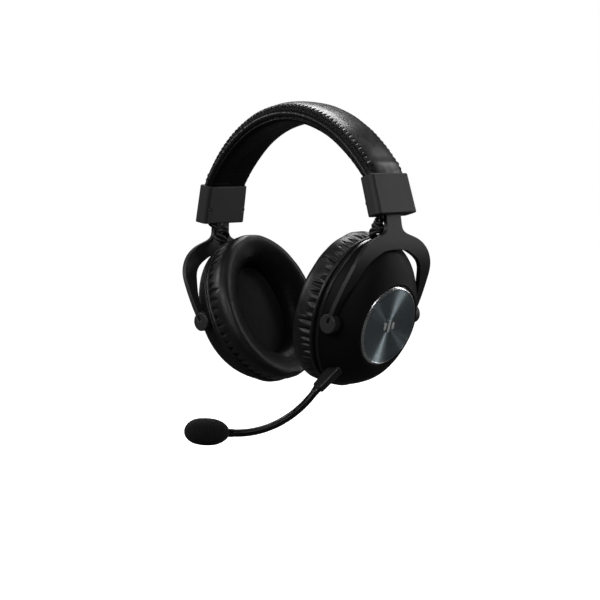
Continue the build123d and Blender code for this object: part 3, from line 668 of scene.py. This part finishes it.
def build_stitching():
    """Crossed zigzag seams along both edges of the headband, in heavy thread."""
    upper, lower = share_of["panel_edge"] - 0.012, share_of["seam_end"] + 0.002
    verts, faces, count = [], [], 0
    along = np.linspace(0, 1, 9)
    for side in (1, -1):
        for k in range(1, STITCHES - 1):
            for slant in (1, -1):
                for half in (0, 1):
                    t0 = (k + 0.5 * half) / STITCHES
                    t = t0 + along * 0.5 / STITCHES
                    rise = along if (slant > 0) != bool(half) else 1 - along
                    s = lower + (upper - lower) * rise
                    base = band_point(t, s, side)
                    e = 1e-3
                    du = band_point(t + e, s, side) - base
                    dv = band_point(t, s + e, side) - base
                    n = np.cross(du, dv)
                    n /= np.linalg.norm(n, axis=1)[:, None]
                    out = np.array([0.0, side, 0.6])
                    n = n * np.sign(n @ out)[:, None]
                    hump = 0.4 * np.sin(math.pi * along) ** 0.6 + (0.16 if slant > 0 else 0.0) - 0.6
                    p, f = tube_mesh(base + n * hump[:, None], 0.27, 6, count)
                    verts.append(p)
                    faces += f
                    count += len(p)
    thread = place("headband_stitching", np.vstack(verts), faces, mats["thread"])
    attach(thread, "headband")


build_headband()
build_stitching()


# ---------------------------------------------------------------- ear pads
# Cross-section as (share from the ear opening to the outer oval, depth in the cup's frame).
PAD_LINE = [
    (0.30, -11.0), (0.6, -11.0), (0.84, -11.05), (0.895, -11.35), (0.922, -12.6), (0.95, -14.6),
    (0.975, -16.8), (0.993, -19.0), (1.003, -21.4), (1.003, -23.6), (0.99, -25.5), (0.957, -27.2),
    (0.9, -28.5), (0.825, -29.15), (0.74, -29.2), (0.62, -28.7), (0.5, -27.8), (0.38, -26.6),
    (0.27, -25.1), (0.17, -23.1), (0.095, -20.6), (0.05, -17.6), (0.035, -14.5), (0.055, -12.0),
    (0.12, -11.2),
]
FOLDS = 54


def build_ear_pad(label, side):
    pad_width = 24  # mm between the opening and the outer oval
    loop = curve_through(np.array(PAD_LINE + PAD_LINE[:1]) * np.array([pad_width, 1]), 221)[:-1]
    w, depth = loop[:, 0] / pad_width, loop[:, 1]
    turn = np.linspace(0, TAU, 1320, endpoint=False)[:, None]
    outer = np.stack([47.2 * np.cos(turn), 52.8 * np.sin(turn)], -1)
    inner = np.stack([22.8 * np.cos(turn), 31.8 * np.sin(turn)], -1)
    flat = inner + (outer - inner) * w[None, :, None]
    drop = 0.8 * smoothstep((depth + 29) / 18)
    points = local(CUP, flat[..., 0], flat[..., 1] + drop, depth + 0 * flat[..., 0])
    normal = grid_normals(points, True, True)
    centre = local(CUP, 0, 0, -20.0)
    if np.sum(normal[0, 70] * (points[0, 70] - centre)) < 0:
        normal = -normal
    # gathers: pinched folds that are deepest at the base seam and fade into the rolled edge
    rng = np.random.default_rng(300 + side)
    fold_depth = rng.uniform(0.7, 1.5, FOLDS)
    fold_reach = rng.uniform(0.42, 0.85, FOLDS)
    index = np.arange(len(w))
    wall = ((index > 20) & (index < 105) & (w > 0.86) & (depth < -11.3))[None, :]
    climb = np.clip((depth + 11.3) / -15.0, 0, 1)[None, :]
    wobble = 0.8 * ripple(turn, 3 + side, 3, 11) + 0.35 * ripple(turn, 13 + side, 12, 30)
    fold = (FOLDS * turn + wobble + 0.9 * climb * ripple(turn, 31 + side, 5, 20)) / TAU
    which = np.floor(fold).astype(int) % FOLDS
    off_valley = np.abs(fold - np.floor(fold) - 0.5) * 2
    reach, strength = fold_reach[which], fold_depth[which]
    # neighbouring folds share a ridge, so depth and reach change smoothly across it
    fade = smoothstep(climb / 0.05) * (1 - smoothstep((climb - 0.45 * reach) / (0.75 * reach)))
    width = np.clip(0.56 - 0.28 * climb / reach, 0.16, None)
    valley = np.exp(-((off_valley / width) ** 2)) - np.exp(-((1 / width) ** 2))
    relief = wall * fade * (0.3 - 1.15 * strength * valley)
    relief = relief + wall * fade * 0.08 * ripple(turn, 61 + side, 90, 150)
    relief = relief + wall * 0.12 * ripple(turn, 65 + side, 9, 30) * smoothstep(climb / 0.5)
    # soft hollows of the crown and loose creases of the inner lip
    crown = smoothstep((-26.0 - depth) / 2.0) * (w > 0.2) * (w < 0.95)
    lip = ((w <= 0.3) & (depth < -13))[None, :] * smoothstep((-13 - depth) / 3)[None, :]
    relief = relief + crown[None, :] * 0.22 * ripple(turn, 71 + side, 2, 8)
    relief = relief + lip * (0.2 * ripple(turn, 81 + side, 5, 18) + 0.05 * ripple(turn, 91 + side, 24, 60))
    points = points + normal * relief[..., None]
    faces = grid_faces(*points.shape[:2], wrap_rows=True, wrap_columns=True)
    verts = sided(points.reshape(-1, 3), side)
    pad = place(f"ear_pad_cover_{label}", verts, faces, mats["pad"], flip=side > 0)
    set_dull(pad, np.broadcast_to(smoothstep((0.94 - w) / 0.3), points.shape[:2]))
    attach(pad, f"cup_{label}")
    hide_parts(f"ear_pad_{label}")


def build_welt(label, side):
    """Leather-covered piping where the pad meets the cup."""
    turn = np.linspace(0, TAU, 480, endpoint=False)
    spin = np.linspace(0, TAU, 20, endpoint=False)[None, :]
    radius = 1.3 + 0.05 * ripple(turn, 111 + side, 12, 50)[:, None]
    swell = radius * np.cos(spin)
    across, high = np.cos(turn)[:, None], np.sin(turn)[:, None]
    flat_x, flat_y = (45.0 + swell) * across, (51.3 + swell) * high + 0.8
    points = local(CUP, flat_x, flat_y, -12.35 + radius * np.sin(spin))
    faces = grid_faces(*points.shape[:2], wrap_rows=True, wrap_columns=True)
    verts = sided(points.reshape(-1, 3), side)
    welt = place(f"ear_pad_welt_{label}", verts, faces, mats["pad"], flip=side < 0)
    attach(welt, f"cup_{label}")


def build_scrim(label, side):
    """Acoustic cloth stretched over the driver inside the ear opening."""
    rays, rings = 96, 28
    turn = np.linspace(0, TAU, rays, endpoint=False)[:, None]
    reach = np.linspace(0.02, 1, rings)[None, :]
    dome = -12.6 - 1.5 * (1 - reach**2) - 0.12 * ripple(turn, 7, 5, 14) * reach
    points = local(CUP, 25.0 * np.cos(turn) * reach, 34.0 * np.sin(turn) * reach, dome)
    faces = grid_faces(*points.shape[:2], wrap_rows=True)
    faces.append([i * rings for i in range(rays)])
    verts = sided(points.reshape(-1, 3), side)
    cloth = place(f"ear_scrim_{label}", verts, faces, mats["scrim"], flip=side > 0)
    thick = cloth.modifiers.new("thickness", "SOLIDIFY")
    thick.thickness = 0.0004
    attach(cloth, f"cup_{label}")


# ---------------------------------------------------------------- discs
def build_disc(label, side):
    """Spun disc, dished towards its middle, with a bright cut rim."""
    spokes, face_edge, back = 240, 25.65, 13.7
    dish = [(0.0, 14.95), (3, 14.96), (8, 15.0), (14, 15.15), (20, 15.42), (25.2, 15.78), (25.6, 15.85)]
    cut_rim = [(25.7, 15.95), (25.9, 15.97), (26.9, 15.2), (27.4, 14.6), (27.4, 13.75), (26.8, back)]
    line = dish + cut_rim + [(0.0, back)]
    dense = []
    for a, b in zip(line, line[1:]):
        n = 6 if math.dist(a, b) > 1.5 else 2
        dense += [(a[0] + (b[0] - a[0]) * i / n, a[1] + (b[1] - a[1]) * i / n) for i in range(n)]
    dense.append(line[-1])
    ring = np.array(dense[1:-1])
    turn = np.linspace(0, TAU, spokes, endpoint=False)[:, None]
    points = np.stack([ring[:, 0] * np.cos(turn), ring[:, 0] * np.sin(turn), ring[:, 1] + 0 * turn], -1)
    count = len(ring)
    verts = points.reshape(-1, 3)
    faces = grid_faces(spokes, count, wrap_rows=True)
    starts = [ring[f[0] % count] for f in faces]
    face_material = [0 if reach < face_edge and height > 14.9 else 1 for reach, height in starts]
    front_centre, back_centre = spokes * count, spokes * count + 1
    verts = np.vstack([verts, [(0, 0, 14.95), (0, 0, back)]])
    for i in range(spokes):
        j = (i + 1) % spokes
        faces.append([front_centre, j * count, i * count])
        faces.append([back_centre, i * count + count - 1, j * count + count - 1])
        face_material += [0, 1]
    disc = place(f"disc_cover_{label}", verts, faces, [mats["face"], mats["rim"]], flip=True)
    disc.data.polygons.foreach_set("material_index", face_material)
    origin, ax, ay, az = (v * np.array([side, 1, 1]) for v in CUP)
    if side < 0:
        ax = -ax
    turn_to = Matrix((Vector(ax), Vector(ay), Vector(az))).transposed().to_4x4()
    disc.matrix_world = Matrix.Translation(Vector(origin) * MM) @ turn_to
    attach(disc, f"cup_{label}")
    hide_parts(f"disc_{label}")


# ---------------------------------------------------------------- coiled leads
COIL_PITCH, COIL_RADIUS, LEAD_RADIUS = 2.75, 3.65, 1.36


def build_lead(label, side):
    """Curly lead from the block to the cup, in two halves."""
    start = local(BLOCK, -10.5, -12.2, -1.6)
    below = local(BLOCK, -10.5, -14.6, -1.6)
    top = local(BLOCK, -5.4, -17.6, -7.4)
    entry = local(CUP, -7.0, 51.5, -4.4)
    end = entry + 4.4 * CUP[2] + np.array([0, -1.4, 0])
    mid = (top + end) / 2 + np.array([-1.8, 0.3, 0])
    axis = curve_through([start, below, top, mid, end, entry, entry - 4.0 * CUP[2]], 900)
    _, n, b = path_frames(axis)
    gaps = np.r_[0, np.cumsum(np.linalg.norm(np.diff(axis, axis=0), axis=1))]
    from_top = gaps - gaps[np.linalg.norm(axis - top, axis=1).argmin()] + 3.4
    to_end = gaps[np.linalg.norm(axis - end, axis=1).argmin()] + 1.6 - gaps
    spread = smoothstep(from_top / 1.6) * smoothstep(to_end / 2.2)
    turn = from_top / COIL_PITCH * TAU
    line = axis + COIL_RADIUS * spread[:, None] * (n * np.cos(turn)[:, None] + b * np.sin(turn)[:, None])
    total = np.linalg.norm(np.diff(line, axis=0), axis=1).sum()
    line = curve_through(line[::2], int(total * 4))
    cut = int(len(line) * 0.5)
    middle_of_coil = line[cut - 12 : cut + 12].mean(0)
    spans = (("upper", line[: cut + 1], "headband", f"slider_{label}", top, middle_of_coil),
             ("lower", line[cut:], f"slider_{label}", f"cup_{label}", middle_of_coil, end))
    for part, path, a, c, p, q in spans:
        verts, faces = tube_mesh(sided(path, side), LEAD_RADIUS, 14)
        lead = place(f"coiled_lead_{part}_{label}", verts, faces, mats["cable"])
        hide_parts(f"coiled_lead_{label}")
        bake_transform(lead)


for label, side in SIDES:
    build_ear_pad(label, side)
    build_welt(label, side)
    build_scrim(label, side)
    build_disc(label, side)
    build_lead(label, side)


# ---------------------------------------------------------------- microphone boom
BOOM_R, BOOM_START, BOOM_END = 72.0, math.radians(-46.7), math.radians(8.5)
BOOM_LENGTH = BOOM_R * (BOOM_END - BOOM_START)
BOOM_JOINTS = (4.0, 24.0, 44.0, 64.0)
mic_dir = -0.77 * CUP[1] - 0.638 * CUP[2]
mic_dir /= np.linalg.norm(mic_dir)
boot_end = local(CUP, -26.4, -34.85, -1.0) + 17.9 * mic_dir
boom_ahead = np.array([-math.sin(HEADING), -math.cos(HEADING), 0])


def boom_at(length):
    """Boom centreline, straight beyond the end of its arc."""
    length = np.asarray(length, float)
    bent = np.clip(length, None, BOOM_LENGTH)
    slope = BOOM_START + bent / BOOM_R
    x = BOOM_R * (np.sin(slope) - math.sin(BOOM_START)) + (length - bent) * math.cos(BOOM_END)
    z = BOOM_R * (math.cos(BOOM_START) - np.cos(slope)) + (length - bent) * math.sin(BOOM_END)
    return boot_end + x[..., None] * boom_ahead + z[..., None] * np.array([0, 0, 1.0])


def build_boom():
    """Ribbed gooseneck sleeve in four lengths along the boom's curve, each over one hinge."""
    cuts = [0.0, 14.0, 34.0, 54.0, BOOM_LENGTH + 6.0]
    rib_pitch = 1.4
    for i, joint in enumerate(BOOM_JOINTS):
        length = np.arange(cuts[i], cuts[i + 1] + 0.05, 0.1)
        rib = 0.5 + 0.5 * np.cos(length * TAU / rib_pitch)
        radius = 2.38 + 0.13 * rib**0.7
        collar = smoothstep((2.6 - length) / 0.5) + smoothstep((length - BOOM_LENGTH - 0.2) / 0.5)
        radius = radius + collar * 0.3 * (1 - 0.4 * rib)
        verts, faces = tube_mesh(boom_at(length), radius, 28)
        piece = place(f"gooseneck_{i + 1}", verts, faces, mats["neck"])
        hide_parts(f"boom_link_{i + 1}")
        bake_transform(piece)


def build_foam():
    """Windscreen: a blunt ovoid of open-cell foam drawn in at its neck."""
    slices, stations = 220, 170
    rng = np.random.default_rng(4)
    ahead_dir = boom_at(BOOM_LENGTH + 10) - boom_at(BOOM_LENGTH + 9)
    across = np.cross(ahead_dir, (0, 0, 1.0))
    across /= np.linalg.norm(across)
    high = np.cross(across, ahead_dir)
    mouth = boom_at(BOOM_LENGTH + 5.0)
    u = np.linspace(0.035, 0.998, stations)
    v = 2 * u - 1
    shape = np.where(v > 0, (1 - np.abs(v) ** 2.7) ** 0.5, (1 - np.abs(v) ** 2.3) ** 0.55)
    along = -0.5 + 29.6 * (u - 0.035) / 0.963
    radius = 8.45 * shape
    turn = np.linspace(0, TAU, slices, endpoint=False)[:, None]
    pits = rng.normal(0, 0.07, (slices, stations))
    pits = (pits + np.roll(pits, 1, 0) + np.roll(pits, 1, 1)) * 0.8
    r = radius + pits + 0.1 * ripple(turn, 2, 2, 7)
    points = (
        mouth
        + along[None, :, None] * ahead_dir
        + (r * np.cos(turn))[..., None] * across
        + (r * np.sin(turn))[..., None] * high
    )
    faces = grid_faces(slices, stations, wrap_rows=True)
    faces.append([i * stations for i in range(slices)])
    faces.append([i * stations + stations - 1 for i in reversed(range(slices))])
    foam = place("windscreen", points.reshape(-1, 3), faces, mats["foam"], flip=True)
    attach(foam, "mic_head")
    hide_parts("mic_foam")


build_boom()
build_foam()
